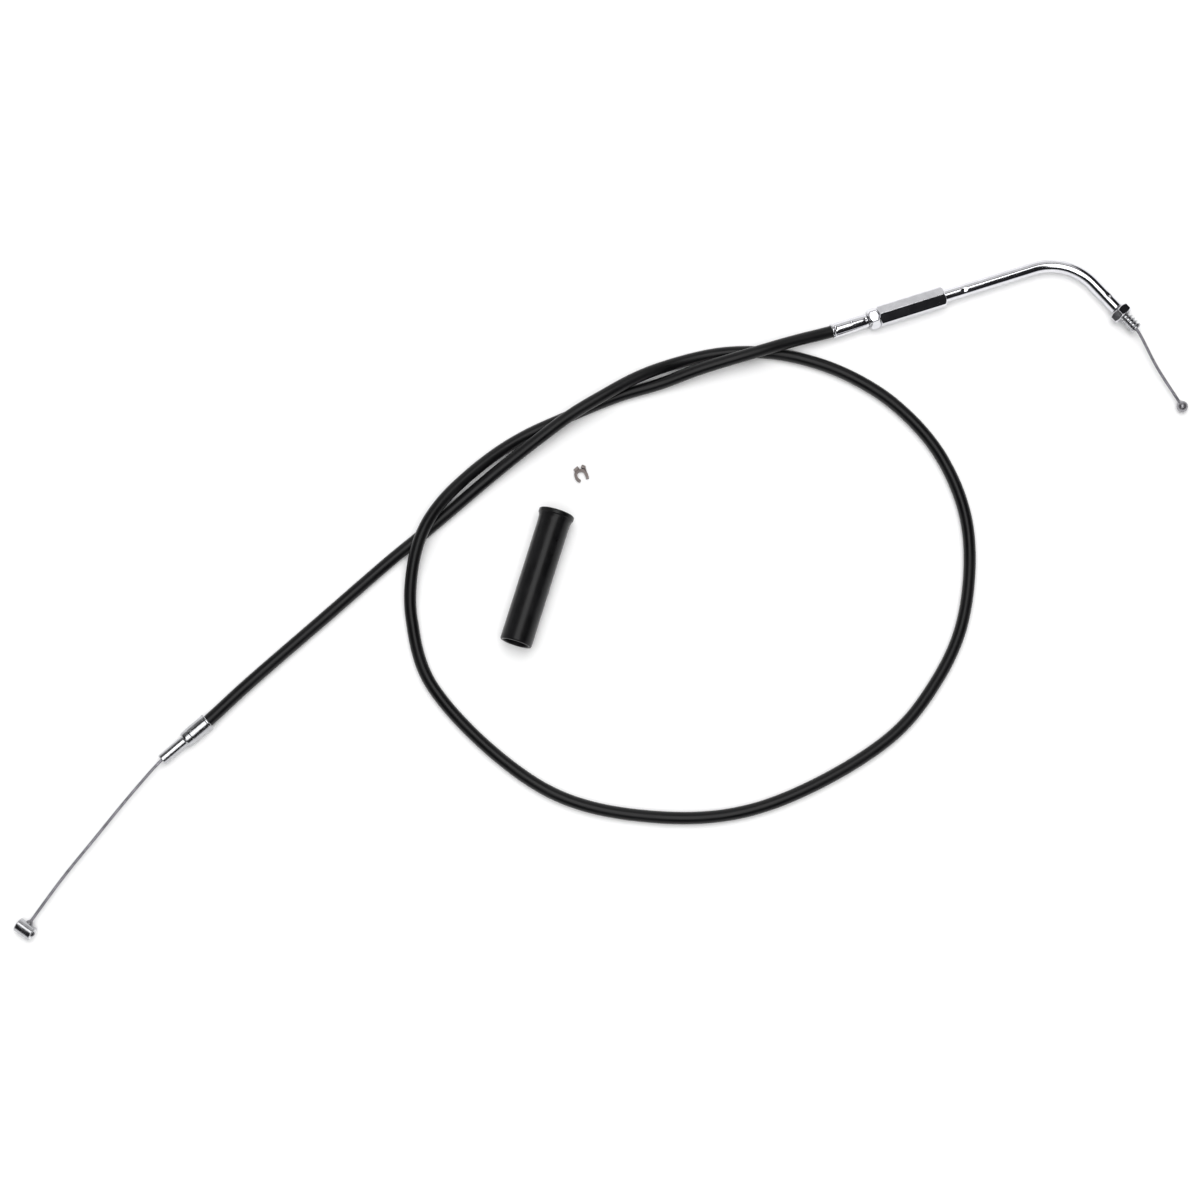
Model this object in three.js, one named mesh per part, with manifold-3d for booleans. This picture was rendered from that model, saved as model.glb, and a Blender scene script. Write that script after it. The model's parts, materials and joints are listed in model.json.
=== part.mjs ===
// A motorcycle throttle cable, lying on a flat surface (z = 0), in millimetres with +Z up.
// A sheathed conduit makes one loop. One end has a stepped ferrule, a bare wire and a barrel end.
// The other has an inline adjuster, a rigid elbow, a threaded end, a bare wire and a ball end.
// A loose rubber sleeve and a small loose clip lie beside it.
import * as THREE from 'three';
import { mergeVertices } from 'three/addons/utils/BufferGeometryUtils.js';
import Module from 'manifold-3d';

// ---------------------------------------------------------------- driving dimensions

const GAP = 0.3; // left between pieces that touch in the real object

const CABLE = {
  wireD: 1.2,
  linerD: 2.2,
  linerBore: 1.6,
  windingD: 3.5,
  windingBore: 2.5,
  jacketD: 5.0,
  jacketBore: 3.9,
  steps: 78,
};

const CARB_FERRULE = {
  noseD: 4.5,
  noseLength: 12,
  noseBore: 2.8,
  bodyD: 6.8,
  bodyLength: 12.3,
  bodyBore: 5.6,
  rimD: 7.1,
  rimLength: 0.9,
  crimpD: 6.5,
  crimpLength: 3.1, // the narrower stretch next to the shoulder
  shoulderRound: 1.1,
  endWall: 1.4,
};

const BARREL = { diameter: 5.9, length: 7.6, edge: 0.35, wireHole: 2.0, holeDepth: 4.4 };
const SOLDER = { baseD: 3.4, tipD: 2.4, length: 1.2 };
const BALL = { diameter: 4.75, wireHole: 2.0, holeDepth: 3.1 };

const ADJUSTER = {
  ferruleLength: 16,
  ferruleBigD: 6.1,
  ferruleSmallD: 5.6,
  ferruleLipD: 6.7,
  ferruleBore: 5.55,
  studEnd: 3.6, // how far the stud reaches into the ferrule
  studD: 4.9,
  studPitch: 0.8,
  studThreadDepth: 0.4,
  studBore: 2.8,
  studLength: 27,
  studShankD: 3.9,
  nutFlats: 8,
  nutThick: 4,
  nutBore: 5.5,
  nutChamfer: 1.0,
  sleeveFlats: 8,
  sleeveLength: 29,
  sleeveBore: 5.5,
  sleevePocketD: 6.9,
  sleevePocketLength: 4.2,
  sleeveEndWall: 1.2,
  sleeveChamferLow: 0.5,
  sleeveChamferHigh: 0.9,
};

const ELBOW = {
  tubeD: 5.2,
  tubeBore: 4.2,
  bendRadius: 23.4,
  bendAngle: THREE.MathUtils.degToRad(66.5),
  firstStraight: 39.7,
  lastStraight: 14.4,
  bushFlangeD: 6.3,
  bushFlangeLength: 1.2,
  bushShankD: 3.6,
  bushShankLength: 9,
  bushBore: 2.7,
  linerStart: -7,
  wireStart: -22.3,
};

const THREADED_END = {
  diameter: 5.4,
  pitch: 1.5,
  threadDepth: 0.45,
  threadLength: 11.5,
  shankD: 3.6,
  shankLength: 9,
  bore: 2.7,
};

const LOCK_NUT = { flats: 8.4, thick: 3.6, bore: 6.0, chamfer: 0.6, roll: THREE.MathUtils.degToRad(-12) };

const SLEEVE = {
  length: 57,
  bodyD: 13.4,
  bore: 10.4,
  flangeD: 14.9,
  flangeThick: 2.2,
  edge: 0.4,
};

const CLIP = {
  thick: 1.7,
  earThick: 2.1,
  armWide: 1.1,
  // The middle line of the bent strip, from the foot that turns inwards to the straight foot.
  line: [[-0.3, -2.1], [-1.4, -1.25], [-2.15, 0.4], [-1.7, 1.85], [-0.35, 2.6], [1.2, 2.3], [2.2, 1], [2.8, -0.9]],
  // The two ears on its back: middle, length, width and slope.
  ears: [
    { at: [-1.85, 3.0], length: 2.1, wide: 1.15, slope: THREE.MathUtils.degToRad(43) },
    { at: [1.0, 3.98], length: 1.65, wide: 1.15, slope: THREE.MathUtils.degToRad(-20) },
  ],
  // The right-hand arm runs on past the bend, up to its ear.
  neck: { at: [1.68, 3.0], length: 2.4, wide: 0.8, slope: THREE.MathUtils.degToRad(105) },
};

// ---------------------------------------------------------------- places and routes

const deg = THREE.MathUtils.degToRad;
const v3 = (x, y, z) => new THREE.Vector3(x, y, z);
const UP = v3(0, 0, 1);

// The carburettor end: the ferrule lies on its body, and its axis runs from conduit to nose.
const FERRULE_Z = CARB_FERRULE.rimD / 2;
const CARB_AXIS = v3(-Math.cos(deg(41.1)), -Math.sin(deg(41.1)), 0);
const CARB_MOUTH = v3(-163.5, -53.4, FERRULE_Z); // where the conduit goes in
const NOSE_TIP = CARB_MOUTH.clone().addScaledVector(
  CARB_AXIS,
  CARB_FERRULE.bodyLength + CARB_FERRULE.noseLength,
);
const BARREL_CENTRE = v3(-234.4, -137.7, BARREL.diameter / 2);

// The adjuster lies at one height, on a corner of its hexagon, and it runs along ADJUSTER_AXIS.
const ADJUSTER_Z = 4.65;
const ADJUSTER_AXIS = v3(Math.cos(deg(17.9)), Math.sin(deg(17.9)), 0);
const SLEEVE_CENTRE = v3(125.5, 121.7, ADJUSTER_Z);
const alongAdjuster = (s) => SLEEVE_CENTRE.clone().addScaledVector(ADJUSTER_AXIS, s);
const SLEEVE_START = -ADJUSTER.sleeveLength / 2;
const SLEEVE_END = ADJUSTER.sleeveLength / 2;
const NUT_START = SLEEVE_START - GAP - ADJUSTER.nutThick;
const FERRULE_END = NUT_START - GAP;
const FERRULE_START = FERRULE_END - ADJUSTER.ferruleLength;

// The elbow leaves the sleeve, bends in the same plane, and ends in the threaded end.
const BEND_START = alongAdjuster(SLEEVE_END + ELBOW.firstStraight);
const BEND_SIDE = v3(ADJUSTER_AXIS.y, -ADJUSTER_AXIS.x, 0);
const BEND_CENTRE = BEND_START.clone().addScaledVector(BEND_SIDE, ELBOW.bendRadius);
const EXIT_AXIS = ADJUSTER_AXIS.clone().applyAxisAngle(UP, -ELBOW.bendAngle);
const BEND_END = BEND_CENTRE.clone().addScaledVector(
  BEND_SIDE.clone().applyAxisAngle(UP, -ELBOW.bendAngle),
  -ELBOW.bendRadius,
);
const TUBE_END = BEND_END.clone().addScaledVector(EXIT_AXIS, ELBOW.lastStraight);
const THREAD_TIP = TUBE_END.clone().addScaledVector(EXIT_AXIS, GAP + THREADED_END.threadLength);
const BALL_CENTRE = v3(237.3, 79.2, BALL.diameter / 2);

// The conduit's middle line, from inside the stepped ferrule to inside the adjuster's ferrule.
// The middle points are the free stretch: one loop that passes itself three times,
// over, under and over, each time in a long low hump.
const LIE = CABLE.jacketD / 2 + 0.06; // the middle line's height where the conduit lies flat
const CONDUIT_ROUTE = [
  CARB_MOUTH.clone().addScaledVector(CARB_AXIS, CARB_FERRULE.bodyLength - CARB_FERRULE.endWall - GAP),
  CARB_MOUTH.clone(),
  v3(-148, -38.4, 2.9),
  v3(-118, -11.3, LIE),
  v3(-89.7, 14.2, LIE),
  v3(-78.1, 24, LIE),
  v3(-46, 51.5, 4.6),
  v3(-29.3, 64.4, 7.1),
  v3(-17, 73.7, 7.8),
  v3(-4.4, 81.6, 7.9),
  v3(12, 91.2, 6.1),
  v3(28.6, 98, 3.3),
  v3(45.3, 102, LIE),
  v3(61.2, 102.6, 2.6),
  v3(78.6, 100, LIE),
  v3(98.6, 92.7, LIE),
  v3(118.5, 79.5, LIE),
  v3(136.6, 57.7, LIE),
  v3(146.8, 28, LIE),
  v3(144, -11.3, LIE),
  v3(131.7, -38.1, LIE),
  v3(111.7, -61.3, LIE),
  v3(59.6, -88.7, LIE),
  v3(18, -92.4, LIE),
  v3(-26, -81.5, LIE),
  v3(-72.8, -38.6, LIE),
  v3(-81.4, -11, 2.8),
  v3(-81.6, 6.2, 5.2),
  v3(-77.8, 22.6, 8),
  v3(-70.3, 36.2, 7),
  v3(-54.1, 53, 4.6),
  v3(-37.7, 65, 3),
  v3(-17, 75, 2.7),
  v3(3.7, 83.7, 2.65),
  v3(20.3, 88.6, 3.4),
  v3(37, 94.2, 6.3),
  v3(60.9, 101.2, 8.1),
  v3(76, 106.2, 6.4),
  alongAdjuster(FERRULE_START),
  alongAdjuster(FERRULE_END - ADJUSTER.studEnd - GAP),
];

// The bare wire between the nose and the barrel end, which droops to the surface.
const CARB_WIRE_ROUTE = [
  NOSE_TIP.clone().addScaledVector(CARB_AXIS, -6),
  NOSE_TIP.clone(),
  v3(-194, -83.6, 3.3),
  v3(-207, -100.2, 3.1),
  v3(-220.6, -117.8, 3),
  BARREL_CENTRE.clone(),
];

// The bare wire between the threaded end and the ball end.
const BALL_WIRE_ROUTE = [
  THREAD_TIP.clone().addScaledVector(EXIT_AXIS, -6),
  THREAD_TIP.clone(),
  v3(227.3, 95.6, 3.6),
  BALL_CENTRE.clone(),
];

const SLEEVE_TOP = v3(-22, 32.7, SLEEVE.flangeD / 2 + 0.03);
const SLEEVE_BOTTOM = v3(-38.7, -21.8, SLEEVE.bodyD / 2 + 0.03);
const CLIP_CENTRE = v3(-12.3, 49.6, 0);

// ---------------------------------------------------------------- solids

const wasm = await Module();
wasm.setup();

// A geometry as a manifold-3d solid.
function solidOf(geometry) {
  const bare = geometry.index ? geometry.toNonIndexed() : geometry.clone();
  bare.deleteAttribute('normal');
  bare.deleteAttribute('uv');
  const merged = mergeVertices(bare, 1e-4);
  return new wasm.Manifold(
    new wasm.Mesh({
      numProp: 3,
      vertProperties: merged.attributes.position.array,
      triVerts: new Uint32Array(merged.index.array),
    }),
  );
}

// A manifold-3d solid as a flat-shaded geometry.
function geometryOf(solid) {
  const mesh = solid.getMesh();
  const points = new Float32Array(mesh.numVert * 3);
  for (let i = 0; i < mesh.numVert; i += 1) {
    points.set(mesh.vertProperties.subarray(i * mesh.numProp, i * mesh.numProp + 3), i * 3);
  }
  const geometry = new THREE.BufferGeometry();
  geometry.setAttribute('position', new THREE.BufferAttribute(points, 3));
  geometry.setIndex(new THREE.BufferAttribute(mesh.triVerts, 1));
  const flat = geometry.toNonIndexed();
  flat.computeVertexNormals();
  return flat;
}

const subtract = (a, b) => geometryOf(solidOf(a).subtract(solidOf(b)));
const add = (a, b) => geometryOf(solidOf(a).add(solidOf(b)));

// A turned piece along +Y from a closed outline of [radius, height] points.
function turned(outline, sides) {
  const points = outline.map(([r, h]) => new THREE.Vector2(r, h));
  points.push(points[0].clone());
  const geometry = new THREE.LatheGeometry(points, sides);
  return solidOf(geometry).volume() < 0 ? turned([...outline].reverse(), sides) : geometry;
}

// The outer line of a thread, from low to high: one ridge for each pitch.
function threadLine(from, to, radius, depth, pitch) {
  const line = [];
  for (let h = from; h + pitch <= to + 1e-6; h += pitch) {
    line.push([radius - depth, h], [radius, h + pitch * 0.4], [radius, h + pitch * 0.6]);
    line.push([radius - depth, h + pitch * 0.98]);
  }
  return line;
}

// A hexagonal bar along +Y, from height 0, with turned corners at the ends that ask for them.
function hexBar(flats, length, lowChamfer, highChamfer) {
  const corner = flats / Math.sqrt(3);
  const shape = new THREE.Shape();
  for (let i = 0; i < 6; i += 1) {
    const a = deg(60 * i);
    shape[i ? 'lineTo' : 'moveTo'](corner * Math.cos(a), corner * Math.sin(a));
  }
  shape.closePath();
  const bar = new THREE.ExtrudeGeometry(shape, { depth: length, bevelEnabled: false });
  bar.rotateX(-Math.PI / 2);
  const rim = flats / 2 - 0.1;
  const slope = corner - rim;
  const cutter = turned(
    [
      [0, 0],
      [lowChamfer ? rim : corner * 1.1, 0],
      [corner * 1.1, lowChamfer ? lowChamfer * ((corner * 1.1 - rim) / slope) : 0.01],
      [corner * 1.1, length - (highChamfer ? highChamfer * ((corner * 1.1 - rim) / slope) : 0.01)],
      [highChamfer ? rim : corner * 1.1, length],
      [0, length],
    ],
    24,
  );
  return geometryOf(solidOf(bar).intersect(solidOf(cutter)));
}

// A straight bore along +Y that runs past both ends of a piece.
function bore(diameter, from, to, sides = 16) {
  const tool = new THREE.CylinderGeometry(diameter / 2, diameter / 2, to - from, sides);
  tool.translate(0, (from + to) / 2, 0);
  return tool;
}

// A round tube, or a solid rod if it has no bore, along a curve.
function tubeAlong(curve, outer, inner, sides, steps) {
  const section = new THREE.Shape();
  const around = (radius) =>
    Array.from({ length: sides }, (_, i) => {
      const a = (2 * Math.PI * i) / sides;
      return new THREE.Vector2(radius * Math.cos(a), radius * Math.sin(a));
    });
  section.setFromPoints(around(outer / 2));
  if (inner) {
    const hole = new THREE.Path();
    hole.setFromPoints(around(inner / 2).reverse());
    section.holes.push(hole);
  }
  return new THREE.ExtrudeGeometry(section, { steps, bevelEnabled: false, extrudePath: curve });
}

const smooth = (points) => new THREE.CatmullRomCurve3(points, false, 'centripetal');

// ---------------------------------------------------------------- assembly helpers

const cable = new THREE.Group();
cable.name = 'throttle_cable';

const FINISHES = {
  black_vinyl: { color: 0x0b0b0d, roughness: 0.25, metalness: 0.0 },
  spring_steel: { color: 0x8a8c90, roughness: 0.45, metalness: 1.0 },
  white_liner: { color: 0xe6e4dc, roughness: 0.5, metalness: 0.0 },
  steel_wire: { color: 0xa9a6b4, roughness: 0.35, metalness: 1.0 },
  zinc: { color: 0xc9c9cf, roughness: 0.28, metalness: 1.0 },
  chrome: { color: 0xe3e4ea, roughness: 0.06, metalness: 1.0 },
  solder: { color: 0x8f9096, roughness: 0.45, metalness: 1.0 },
  black_rubber: { color: 0x0d0d0f, roughness: 0.35, metalness: 0.0 },
  clip_steel: { color: 0x7d756c, roughness: 0.45, metalness: 1.0 },
};

// Adds a piece as a named mesh.
function place(name, finish, geometry) {
  const mesh = new THREE.Mesh(geometry, new THREE.MeshStandardMaterial(FINISHES[finish]));
  mesh.name = name;
  cable.add(mesh);
  return mesh;
}

// Adds a piece that was made along +Y, so that it starts at a point and runs along an axis.
// Roll turns it about that axis, from the pose in which its +X lies level.
function placeAlong(name, finish, geometry, start, axis, roll = 0) {
  const level = new THREE.Vector3().crossVectors(axis, UP).normalize();
  const third = new THREE.Vector3().crossVectors(level, axis);
  const mesh = place(name, finish, geometry);
  const turn = new THREE.Matrix4().makeBasis(level, axis.clone(), third);
  mesh.quaternion.setFromRotationMatrix(turn);
  mesh.rotateY(roll);
  mesh.position.copy(start);
  return mesh;
}

// ---------------------------------------------------------------- conduit

function conduit() {
  const line = smooth(CONDUIT_ROUTE);
  const { steps } = CABLE;
  place('outer_jacket', 'black_vinyl', tubeAlong(line, CABLE.jacketD, CABLE.jacketBore, 12, steps));
  place('conduit_winding', 'spring_steel', tubeAlong(line, CABLE.windingD, CABLE.windingBore, 8, steps));
  place('conduit_liner', 'white_liner', tubeAlong(line, CABLE.linerD, CABLE.linerBore, 8, steps));
  place('inner_wire_core', 'steel_wire', tubeAlong(line, CABLE.wireD, 0, 6, steps));
}

// ---------------------------------------------------------------- carburettor end

function carburettorFerrule() {
  const f = CARB_FERRULE;
  const full = f.bodyLength + f.noseLength;
  const outline = [
    [f.bodyBore / 2, 0],
    [f.rimD / 2 - 0.3, 0],
    [f.rimD / 2, 0.3],
    [f.rimD / 2, f.rimLength - 0.3],
    [f.bodyD / 2, f.rimLength + 0.3],
    [f.bodyD / 2, f.bodyLength - f.crimpLength - 0.3],
    [f.crimpD / 2, f.bodyLength - f.crimpLength],
    [f.crimpD / 2, f.bodyLength - f.shoulderRound],
    [f.crimpD / 2 - f.shoulderRound * 0.1, f.bodyLength - f.shoulderRound * 0.5],
    [f.crimpD / 2 - f.shoulderRound * 0.35, f.bodyLength - f.shoulderRound * 0.15],
    [f.crimpD / 2 - f.shoulderRound * 0.7, f.bodyLength],
    [f.noseD / 2, f.bodyLength],
    [f.noseD / 2, full - 0.4],
    [f.noseD / 2 - 0.4, full],
    [f.noseBore / 2, full],
    [f.noseBore / 2, f.bodyLength - f.endWall],
    [f.bodyBore / 2, f.bodyLength - f.endWall],
  ];
  placeAlong('carburetor_ferrule', 'zinc', turned(outline, 28), CARB_MOUTH, CARB_AXIS);
}

function carburettorWire() {
  const line = smooth(CARB_WIRE_ROUTE);
  const stop = line.getPoints(400);
  const inside = BARREL_CENTRE.clone();
  const kept = stop.filter((p) => p.distanceTo(inside) > BARREL.diameter / 2 - BARREL.holeDepth + GAP + 1.4);
  const route = new THREE.CatmullRomCurve3(kept.filter((_, i) => i % 20 === 0 || i === kept.length - 1));
  place('inner_wire_carburetor_end', 'steel_wire', tubeAlong(route, CABLE.wireD, 0, 8, 32));
}

function barrelEnd() {
  const b = BARREL;
  const last = CARB_WIRE_ROUTE[CARB_WIRE_ROUTE.length - 2];
  const wireAxis = BARREL_CENTRE.clone().sub(last).setZ(0).normalize();
  const rollAxis = new THREE.Vector3().crossVectors(UP, wireAxis).normalize();
  const drum = turned(
    [
      [0, -b.length / 2],
      [b.diameter / 2 - b.edge, -b.length / 2],
      [b.diameter / 2, -b.length / 2 + b.edge],
      [b.diameter / 2, b.length / 2 - b.edge],
      [b.diameter / 2 - b.edge, b.length / 2],
      [0, b.length / 2],
    ],
    28,
  );
  // In the drum's own frame, the wire comes in along +Z.
  const cone = new THREE.CylinderGeometry(SOLDER.tipD / 2, SOLDER.baseD / 2, SOLDER.length + 1, 20);
  cone.rotateX(Math.PI / 2);
  cone.translate(0, 0, b.diameter / 2 + (SOLDER.length - 1) / 2);
  const hole = new THREE.CylinderGeometry(b.wireHole / 2, b.wireHole / 2, b.holeDepth + 4, 12);
  hole.rotateX(Math.PI / 2);
  hole.translate(0, 0, b.diameter / 2 - b.holeDepth + (b.holeDepth + 4) / 2);
  const mesh = place('barrel_end', 'zinc', subtract(add(drum, cone), hole));
  const back = wireAxis.clone().negate();
  const side = new THREE.Vector3().crossVectors(rollAxis, back);
  mesh.quaternion.setFromRotationMatrix(new THREE.Matrix4().makeBasis(side, rollAxis, back));
  mesh.position.copy(BARREL_CENTRE);
}

// ---------------------------------------------------------------- adjuster

function adjusterFerrule() {
  const a = ADJUSTER;
  const big = a.ferruleBigD / 2;
  const small = a.ferruleSmallD / 2;
  const studRoom = a.studShankD / 2 + GAP;
  const outline = [
    [a.ferruleBore / 2 - 0.05, 0],
    [a.ferruleLipD / 2 - 0.15, 0],
    [a.ferruleLipD / 2, 0.35],
    [big, 1.0],
    [big, a.ferruleLength * 0.55],
    [small, a.ferruleLength - 1.3],
    [small - 0.15, a.ferruleLength - 0.6],
    [small - 0.5, a.ferruleLength],
    [studRoom - 0.1, a.ferruleLength],
    [studRoom - 0.1, a.ferruleLength - a.studEnd + 0.2],
    [a.ferruleBore / 2 - 0.05, a.ferruleLength - a.studEnd - 0.6],
  ];
  placeAlong('adjuster_ferrule', 'chrome', turned(outline, 28), alongAdjuster(FERRULE_START), ADJUSTER_AXIS);
}

function adjusterStud() {
  const a = ADJUSTER;
  const reach = a.studEnd;
  const thread = threadLine(reach + GAP, a.studLength, a.studD / 2, a.studThreadDepth, a.studPitch);
  const top = thread[thread.length - 1][1];
  const outline = [
    [a.studBore / 2, 0.15],
    [a.studShankD / 2 - 0.1, 0.15],
    [a.studShankD / 2 - 0.1, reach + GAP],
    ...thread,
    [a.studD / 2 - a.studThreadDepth - 0.3, top + 0.3],
    [a.studBore / 2, top + 0.3],
  ];
  const start = alongAdjuster(FERRULE_END - reach);
  placeAlong('adjuster_stud', 'zinc', turned(outline, 16), start, ADJUSTER_AXIS);
}

function jamNut() {
  const a = ADJUSTER;
  const body = hexBar(a.nutFlats, a.nutThick, a.nutChamfer, a.nutChamfer);
  const nut = subtract(body, bore(a.nutBore, -1, a.nutThick + 1, 24));
  placeAlong('jam_nut', 'chrome', nut, alongAdjuster(NUT_START), ADJUSTER_AXIS);
}

function hexAdjuster() {
  const a = ADJUSTER;
  const body = hexBar(a.sleeveFlats, a.sleeveLength, a.sleeveChamferLow, a.sleeveChamferHigh);
  const pocketStart = a.sleeveLength - a.sleeveEndWall - a.sleevePocketLength;
  const hollow = turned(
    [
      [0, -1],
      [a.sleeveBore / 2, -1],
      [a.sleeveBore / 2, pocketStart],
      [a.sleevePocketD / 2, pocketStart],
      [a.sleevePocketD / 2, pocketStart + a.sleevePocketLength],
      [ELBOW.tubeD / 2 + GAP, pocketStart + a.sleevePocketLength],
      [ELBOW.tubeD / 2 + GAP, a.sleeveLength + 1],
      [0, a.sleeveLength + 1],
    ],
    24,
  );
  const sleeve = subtract(body, hollow);
  placeAlong('hex_adjuster', 'chrome', sleeve, alongAdjuster(SLEEVE_START), ADJUSTER_AXIS, deg(30));
}

// ---------------------------------------------------------------- elbow

// The elbow's middle line: straight, round the bend, and straight again.
class ElbowLine extends THREE.Curve {
  constructor(before, after) {
    super();
    this.before = before;
    this.after = after;
    this.bend = ELBOW.bendRadius * ELBOW.bendAngle;
  }

  getPoint(t, target = new THREE.Vector3()) {
    const s = t * (this.before + this.bend + this.after);
    if (s <= this.before) {
      return target.copy(BEND_START).addScaledVector(ADJUSTER_AXIS, s - this.before);
    }
    if (s <= this.before + this.bend) {
      const turn = -(s - this.before) / ELBOW.bendRadius;
      const out = BEND_SIDE.clone().applyAxisAngle(UP, turn);
      return target.copy(BEND_CENTRE).addScaledVector(out, -ELBOW.bendRadius);
    }
    return target.copy(BEND_END).addScaledVector(EXIT_AXIS, s - this.before - this.bend);
  }
}

const TUBE_START = SLEEVE_END - ADJUSTER.sleeveEndWall - 0.9; // the tube's inner end, in the sleeve
const BEND_AT = SLEEVE_END + ELBOW.firstStraight;

function elbowTube() {
  const line = new ElbowLine(BEND_AT - TUBE_START, ELBOW.lastStraight);
  place('elbow_tube', 'chrome', tubeAlong(line, ELBOW.tubeD, ELBOW.tubeBore, 18, 28));
}

function swivelBush() {
  const e = ELBOW;
  const outline = [
    [e.bushBore / 2, 0],
    [e.bushFlangeD / 2 - 0.2, 0],
    [e.bushFlangeD / 2, 0.2],
    [e.bushFlangeD / 2, e.bushFlangeLength],
    [e.bushShankD / 2, e.bushFlangeLength],
    [e.bushShankD / 2, e.bushFlangeLength + e.bushShankLength],
    [e.bushBore / 2, e.bushFlangeLength + e.bushShankLength],
  ];
  const start = alongAdjuster(TUBE_START - GAP - e.bushFlangeLength);
  placeAlong('swivel_bush', 'zinc', turned(outline, 20), start, ADJUSTER_AXIS);
}

// The liner and the wire start inside the stud, so that they stay in it when the adjuster is let out.
function elbowInside() {
  const after = ELBOW.lastStraight + GAP + THREADED_END.threadLength;
  const liner = new ElbowLine(BEND_AT - ELBOW.linerStart, after - 1);
  const wire = new ElbowLine(BEND_AT - ELBOW.wireStart, after - 7);
  place('elbow_liner', 'white_liner', tubeAlong(liner, CABLE.linerD - 0.1, CABLE.linerBore, 8, 36));
  place('inner_wire_in_elbow', 'steel_wire', tubeAlong(wire, CABLE.wireD - 0.1, 0, 6, 42));
}

function threadedEnd() {
  const t = THREADED_END;
  const shankStart = -t.shankLength;
  const thread = threadLine(0.8, t.threadLength - 0.1, t.diameter / 2, t.threadDepth, t.pitch);
  const outline = [
    [t.bore / 2, shankStart],
    [t.shankD / 2, shankStart],
    [t.shankD / 2, 0],
    [t.diameter / 2, 0],
    [t.diameter / 2, 0.5],
    ...thread,
    [t.diameter / 2 - t.threadDepth - 0.5, t.threadLength],
    [t.bore / 2, t.threadLength],
  ];
  const start = TUBE_END.clone().addScaledVector(EXIT_AXIS, GAP);
  placeAlong('threaded_end', 'zinc', turned(outline, 20), start, EXIT_AXIS);
}

function lockNut() {
  const n = LOCK_NUT;
  const nut = subtract(hexBar(n.flats, n.thick, n.chamfer, n.chamfer), bore(n.bore, -1, n.thick + 1, 24));
  const start = TUBE_END.clone().addScaledVector(EXIT_AXIS, GAP * 2);
  placeAlong('lock_nut', 'chrome', nut, start, EXIT_AXIS, n.roll);
}

function ballEnd() {
  const b = BALL;
  const r = b.diameter / 2;
  const rows = 12;
  const outline = [];
  for (let i = 0; i <= rows; i += 1) {
    const a = -Math.PI / 2 + (Math.PI * i) / rows;
    outline.push([i === 0 || i === rows ? 0 : r * Math.cos(a), r * Math.sin(a)]);
  }
  const sphere = turned(outline, 24);
  const hole = bore(b.wireHole, r - b.holeDepth, r + 2, 12);
  const wireAxis = THREAD_TIP.clone().sub(BALL_CENTRE).setZ(0).normalize();
  placeAlong('ball_end', 'solder', subtract(sphere, hole), BALL_CENTRE, wireAxis);
}

function ballWire() {
  const line = smooth(BALL_WIRE_ROUTE);
  const reach = BALL.diameter / 2 - BALL.holeDepth + GAP + 1.2;
  const kept = line.getPoints(400).filter((p) => p.distanceTo(BALL_CENTRE) > reach);
  const route = new THREE.CatmullRomCurve3(kept.filter((_, i) => i % 20 === 0 || i === kept.length - 1));
  place('inner_wire_handlebar_end', 'steel_wire', tubeAlong(route, CABLE.wireD, 0, 8, 16));
}

// ---------------------------------------------------------------- loose pieces

function adjusterSleeve() {
  const s = SLEEVE;
  const outline = [
    [s.bore / 2 + 0.5, 0],
    [s.flangeD / 2 - s.edge, 0],
    [s.flangeD / 2, s.edge],
    [s.flangeD / 2, s.flangeThick - s.edge],
    [s.flangeD / 2 - s.edge, s.flangeThick],
    [s.bodyD / 2, s.flangeThick],
    [s.bodyD / 2, s.length - s.edge],
    [s.bodyD / 2 - s.edge, s.length],
    [s.bore / 2 + 0.3, s.length],
    [s.bore / 2, s.length - 0.3],
    [s.bore / 2, 0.5],
  ];
  const axis = SLEEVE_BOTTOM.clone().sub(SLEEVE_TOP).normalize();
  placeAlong('adjuster_sleeve', 'black_rubber', turned(outline, 36), SLEEVE_TOP, axis);
}

// The clip is one bent strip: a ring that is open on one side, with two feet and two ears.
function retainingClip() {
  const c = CLIP;
  const curve = new THREE.SplineCurve(c.line.map(([x, y]) => new THREE.Vector2(x, y)));
  const left = [];
  const right = [];
  for (let i = 0; i <= 26; i += 1) {
    const middle = curve.getPoint(i / 26);
    const run = curve.getTangent(i / 26);
    const out = new THREE.Vector2(-run.y, run.x).multiplyScalar(c.armWide / 2);
    left.push(middle.clone().add(out));
    right.unshift(middle.clone().sub(out));
  }
  const strip = new THREE.Shape([...left, ...right]);
  let clip = new THREE.ExtrudeGeometry(strip, { depth: c.thick, bevelEnabled: false });
  for (const part of [...c.ears, c.neck]) {
    const thick = part === c.neck ? c.thick : c.earThick;
    const block = new THREE.BoxGeometry(part.length, part.wide, thick);
    block.rotateZ(part.slope);
    block.translate(part.at[0], part.at[1], thick / 2);
    clip = add(clip, block);
  }
  place('retaining_clip', 'clip_steel', clip).position.copy(CLIP_CENTRE);
}

conduit();
carburettorFerrule();
carburettorWire();
barrelEnd();
adjusterFerrule();
adjusterStud();
jamNut();
hexAdjuster();
elbowTube();
swivelBush();
elbowInside();
threadedEnd();
lockNut();
ballEnd();
ballWire();
adjusterSleeve();
retainingClip();

export default cable;
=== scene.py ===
import json
import math

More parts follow.
